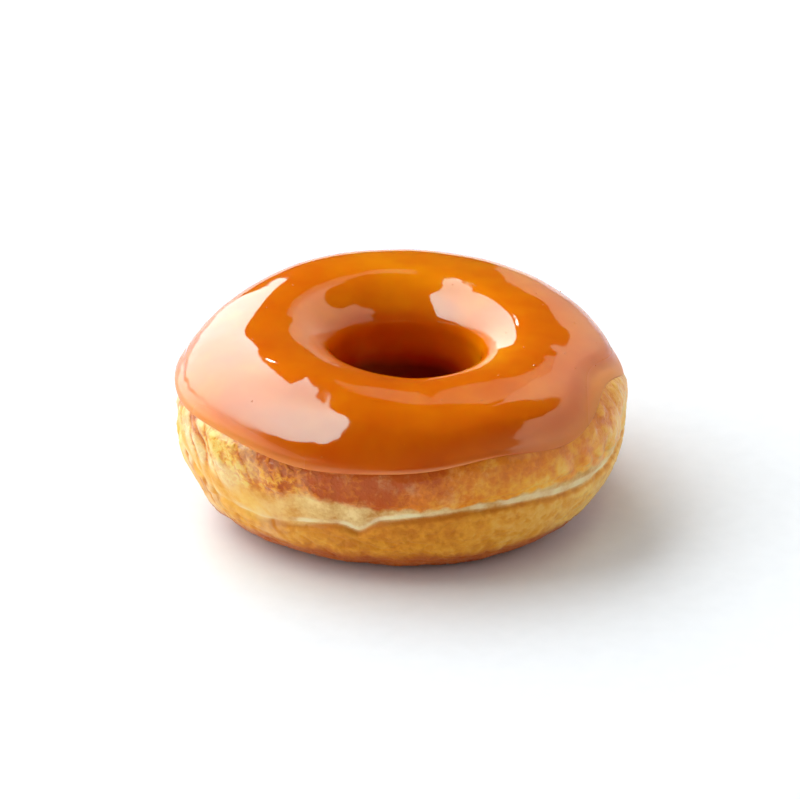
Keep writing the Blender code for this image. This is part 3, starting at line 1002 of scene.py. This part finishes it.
def icing_depth_light_and_shade(azimuth, distance):
    """Depth of the caramel's colour, with painted shade and light: redder and darker down into the
    hole and towards the outer edge, paler on the back, at the left and on the lit slopes of the
    hole.
    """
    lit_wall = near_azimuth(azimuth, *HOLE_LIT_SECTOR)
    # Painted shade down into the hole, turned to painted light on its lit wall
    into_hole = smooth_step((-distance - 0.0125) / 0.007) * (0.29 - 0.5 * lit_wall)
    deep = smooth_step((-distance - 0.019) / 0.011) * (0.74 - 0.4 * lit_wall)
    # Painted shade towards the outer edge, turned to painted light on the back and at the left
    to_edge = 1 - smooth_step((icing_edge(azimuth) - distance) / 0.013)
    back = near_azimuth(azimuth, *LIT_BACK_ICING)
    left = near_azimuth(azimuth, *LIT_LEFT_ICING)
    right = near_azimuth(azimuth, *RIGHT_ICING) * smooth_step((distance + 0.008) / 0.006)
    to_edge = to_edge * (0.23 - 0.27 * back - 0.27 * left)
    # Painted light on the lit inner slope at the right
    golden = near_azimuth(azimuth, *LIT_HOLE_SLOPE_SECTOR) * np.exp(-(((distance + 0.009) / 0.004) ** 2))
    depth = CARAMEL_DEPTH + into_hole + deep + to_edge
    return depth - 0.14 * back + 0.02 * right - 0.2 * golden


def icing_thinness_and_reflection(azimuth, distance):
    """How much of the crust shows through the icing, most at its thin edge at the right, and a
    painted reflection along its edge at the left and the front.
    """
    from_edge = icing_edge(azimuth) - distance
    right = 0.55 * near_azimuth(azimuth, *THIN_EDGE_AZIMUTHS) * (1 - smooth_step(from_edge / 0.007))
    # Painted reflection on the icing's rounded edge at the left and the front
    left = 0.7 * near_azimuth(azimuth, *LEFT_REFLECTION_EDGE) * (1 - smooth_step(from_edge / 0.0028))
    front = 0.5 * near_azimuth(azimuth, *FRONT_REFLECTION_EDGE) * (1 - smooth_step(from_edge / 0.0013))
    return np.maximum(right, np.maximum(left, front))


def icing_dullness(azimuth, distance):
    """Where the icing has dried dull: near its edge at the left, and down the right side."""
    from_edge = icing_edge(azimuth) - distance
    left = near_azimuth(azimuth, *LEFT_DULL_EDGE) * (1 - smooth_step((from_edge - 0.002) / 0.003))
    right = near_azimuth(azimuth, *RIGHT_DULL_SIDE) * (1 - smooth_step(from_edge / 0.012))
    return np.maximum(left, right)


def make_icing():
    """The caramel skin, closed by an underside that lies on the dough."""
    rows = icing_rows(RING_AZIMUTHS)
    azimuths = np.broadcast_to(RING_AZIMUTHS, rows.shape)
    top = icing_surface(azimuths, rows, icing_thickness(azimuths, rows))
    under_stops = (icing_edge(RING_AZIMUTHS), icing_inner_edge(RING_AZIMUTHS))
    under_rows = stretches(under_stops, UNDERSIDE_ROW_STEPS)
    under_azimuths = np.broadcast_to(RING_AZIMUTHS, under_rows.shape)
    underside = icing_surface(under_azimuths, under_rows, np.zeros(under_rows.shape))
    points = np.concatenate((top, underside))
    piece = closed_ring("caramel_icing", points, icing_material())
    numbers = (("depth", icing_depth_light_and_shade), ("thin", icing_thinness_and_reflection), ("dull", icing_dullness))
    for name, values in numbers:
        top_values = values(azimuths, rows)
        keep_values(piece, name, np.concatenate((top_values, values(under_azimuths, under_rows))))
    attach(piece, "root")
    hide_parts("icing")


def make_bubbles():
    """Small domes where air was caught in the icing."""
    draw = random.Random(BUBBLE_SEED)
    shape = bmesh.new()
    for index in range(BUBBLE_COUNT):
        azimuth = np.array([draw.uniform(0.0, 2 * math.pi)])
        inner, outer = RIM_DISTANCE + 0.004, icing_edge(azimuth)[0] - 0.003
        distance = np.array([inner + (outer - inner) * draw.random() ** 0.6])
        radius = draw.uniform(*BUBBLE_RADII)
        place = icing_surface(azimuth, distance, icing_thickness(azimuth, distance) - 0.45 * radius)
        matrix = Matrix.Translation(place[0]) @ Matrix.Scale(radius, 4)
        bmesh.ops.create_uvsphere(
            shape, u_segments=BUBBLE_SEGMENTS, v_segments=BUBBLE_RINGS, radius=1.0, matrix=matrix)
    mesh = bpy.data.meshes.new("icing_bubbles")
    shape.to_mesh(mesh)
    shape.free()
    mesh.shade_smooth()
    mesh.materials.append(bpy.data.materials["caramel_icing_skin"])
    piece = new_object("icing_bubbles", mesh)
    keep_values(piece, "depth", np.full(len(mesh.vertices), BUBBLE_DEPTH))
    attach(piece, "root")


def direction(azimuth_degrees, elevation_degrees):
    """Unit vector towards a place in the studio."""
    azimuth = math.radians(azimuth_degrees)
    elevation = math.radians(elevation_degrees)
    across = math.cos(elevation)
    return np.array((across * math.cos(azimuth), across * math.sin(azimuth), math.sin(elevation)))


def panel_faces(outline):
    """Triangles that fill an outline of (azimuth, elevation)."""
    flat = []
    for azimuth, elevation in outline:
        from_zenith = 90 - elevation
        across = from_zenith * math.cos(math.radians(azimuth))
        flat.append(Vector((across, from_zenith * math.sin(math.radians(azimuth)), 0.0)))
    return tessellate_polygon([flat])


def glow_material(name, color, glow):
    """Light of one strength, or going from one (azimuth, strength) to another; weaker low down."""
    material = bpy.data.materials.new(name)
    material.use_nodes = True
    tree = material.node_tree
    tree.nodes.remove(tree.nodes["Principled BSDF"])
    split = tree.nodes.new("ShaderNodeSeparateXYZ")
    tree.links.new(object_points(tree), split.inputs[0])
    if isinstance(glow, tuple):
        (first, first_glow), (last, last_glow) = sorted(glow)
        leftwards = calculate(tree, "MULTIPLY", split.outputs["X"], -1.0)
        from_back = calculate(tree, "ARCTAN2", leftwards, split.outputs["Y"])
        turns = math.radians(first - 90), math.radians(last - 90)
        glow = spread(tree, from_back, *turns, first_glow, last_glow)
    share = spread(tree, split.outputs["Z"], 0.0, FULL_GLOW_HEIGHT, LOW_GLOW, 1.0)
    strength = calculate(tree, "MULTIPLY", share, glow)
    emission = tree.nodes.new("ShaderNodeEmission")
    emission.inputs["Color"].default_value = (*color, 1.0)
    tree.links.new(strength, emission.inputs["Strength"])
    tree.links.new(emission.outputs[0], tree.nodes["Material Output"].inputs["Surface"])
    return material


def light_panel(name, outline, color, glow, lights=True, mirrored=True):
    """Sheet of diffuser with this outline of (azimuth, elevation), seen from the doughnut.

    It can be left out of what lights the doughnut, or out of what its gloss mirrors.
    """
    corners = [(PANEL_DISTANCE * direction(*place)).tolist() for place in outline]
    mesh = bpy.data.meshes.new(name)
    mesh.from_pydata(corners, [], panel_faces(outline))
    mesh.materials.append(glow_material(name, color, glow))
    panel = new_object(name, mesh)
    panel.visible_camera = False
    panel.visible_diffuse = lights
    panel.visible_glossy = mirrored


def make_lights():
    """Panels that only the gloss mirrors, then panels that only light the doughnut.

    Mirrored: a big softbox at the left, a reflector at the right, haze between them at the back,
    and a small lamp. Lighting: the key at the left with a low one under it, and three fills.
    """
    softbox = (
        (104, -2), (103, 6), (100, 16), (98, 22), (99, 28), (103, 34), (105, 44), (110, 58),
        (96, 52), (90, 44), (92, 55), (95, 63), (112, 74), (140, 80), (200, 83), (225, 80),
        (240, 70), (242, 50), (240, 36), (236, 28), (226, 22), (214, 20), (202, 16), (190, 8),
        (160, -2),
    )
    reflector = (
        (84, -2), (84, 12), (82, 22), (75, 27), (74, 48), (72, 52), (66, 49), (54, 49), (37, 46),
        (23, 45), (12, 46), (2, 52), (-15, 46), (-29, 41), (-36, 33), (-35, 22), (-40, 14),
        (-38, -2), (0, -2), (40, -2),
    )
    haze = ((84.5, 37), (84, 50), (78, 50), (74, 48), (75, 32))
    lamp = ((98, 33), (99, 32.6), (100, 33), (100, 34.6), (99, 35), (98, 34.6))
    light_panel("softbox_left", softbox, SOFTBOX_COLOR, ((110, 6.6), (215, 10.6)), lights=False)
    light_panel("reflector_right", reflector, REFLECTOR_COLOR, ((85, 0.9), (65, 1.9)), lights=False)
    light_panel("haze_back", haze, REFLECTOR_COLOR, ((85, 0.45), (76, 0.95)), lights=False)
    light_panel("lamp", lamp, WHITE, 25.0, lights=False)

    key = ((98, 18), (98, 64), (150, 74), (205, 64), (205, 18), (150, 16))
    low = ((165, 1), (165, 20), (236, 24), (236, 1))
    top = ((45, 62), (135, 62), (225, 62), (315, 62))
    front = ((215, 0), (215, 45), (270, 55), (325, 45), (325, 0), (270, 0))
    light_panel("key_left", key, WHITE, 4.3, mirrored=False)
    light_panel("key_low", low, WHITE, 3.8, mirrored=False)
    light_panel("fill_right", reflector, WHITE, 1.4, mirrored=False)
    light_panel("fill_top", top, WHITE, 1.1, mirrored=False)
    light_panel("fill_front", front, WHITE, 0.32, mirrored=False)


def make_world():
    """Dim room round the doughnut, and a white background for the camera."""
    world = bpy.data.worlds.new("studio")
    world.use_nodes = True
    tree = world.node_tree
    dim = tree.nodes["Background"]
    dim.inputs["Color"].default_value = (*ROOM_COLOR, 1.0)
    dim.inputs["Strength"].default_value = ROOM_GLOW
    pale = tree.nodes.new("ShaderNodeBackground")
    pale.inputs["Color"].default_value = (*WHITE, 1.0)
    pale.inputs["Strength"].default_value = 1.0
    rays = tree.nodes.new("ShaderNodeLightPath")
    choice = tree.nodes.new("ShaderNodeMixShader")
    tree.links.new(rays.outputs["Is Camera Ray"], choice.inputs[0])
    tree.links.new(dim.outputs[0], choice.inputs[1])
    tree.links.new(pale.outputs[0], choice.inputs[2])
    tree.links.new(choice.outputs[0], tree.nodes["World Output"].inputs["Surface"])
    bpy.context.scene.world = world


def make_floor():
    """Sheet of pale paper just under the doughnut's foot."""
    half = FLOOR_SIZE / 2
    square = ((-half, -half), (half, -half), (half, half), (-half, half))
    corners = [(x, y, -FLOOR_DROP) for x, y in square]
    mesh = bpy.data.meshes.new("floor")
    mesh.from_pydata(corners, [], [(0, 1, 2, 3)])
    material, tree, shader = new_material("white_floor")
    paper = noise(tree, object_points(tree), *PAPER_GRAIN)
    tree.links.new(ramp(tree, paper, FLOOR_COLORS), shader.inputs["Base Color"])
    shader.inputs["Roughness"].default_value = 0.9
    shader.inputs["Specular IOR Level"].default_value = 0.1
    mesh.materials.append(material)
    floor = new_object("floor", mesh)


def make_camera():
    """Camera in front, at the height and distance that fit the photograph's perspective."""
    data = bpy.data.cameras.new("camera")
    data.sensor_width = SENSOR_WIDTH_MM
    data.lens = SENSOR_WIDTH_MM * FOCAL_PIXELS / IMAGE_PIXELS
    data.clip_start = CAMERA_NEAR
    data.clip_end = CAMERA_FAR
    camera = new_object("camera", data)
    away = FOCAL_PIXELS / PIXELS_PER_METRE
    back = away * math.cos(CAMERA_ELEVATION)
    camera.location = (AXIS_X, AXIS_Y - back, away * math.sin(CAMERA_ELEVATION))
    down = CAMERA_ELEVATION - math.atan((FOOT_PIXEL_Y - IMAGE_PIXELS / 2) / FOCAL_PIXELS)
    turn = math.atan((FOOT_PIXEL_X - IMAGE_PIXELS / 2) / FOCAL_PIXELS)
    camera.rotation_euler = (math.pi / 2 - down, 0.0, turn)
    bpy.context.scene.camera = camera


make_camera()
make_world()
make_lights()
make_floor()
make_dough()
make_icing()
make_bubbles()
bpy.context.scene.view_settings.view_transform = "Standard"
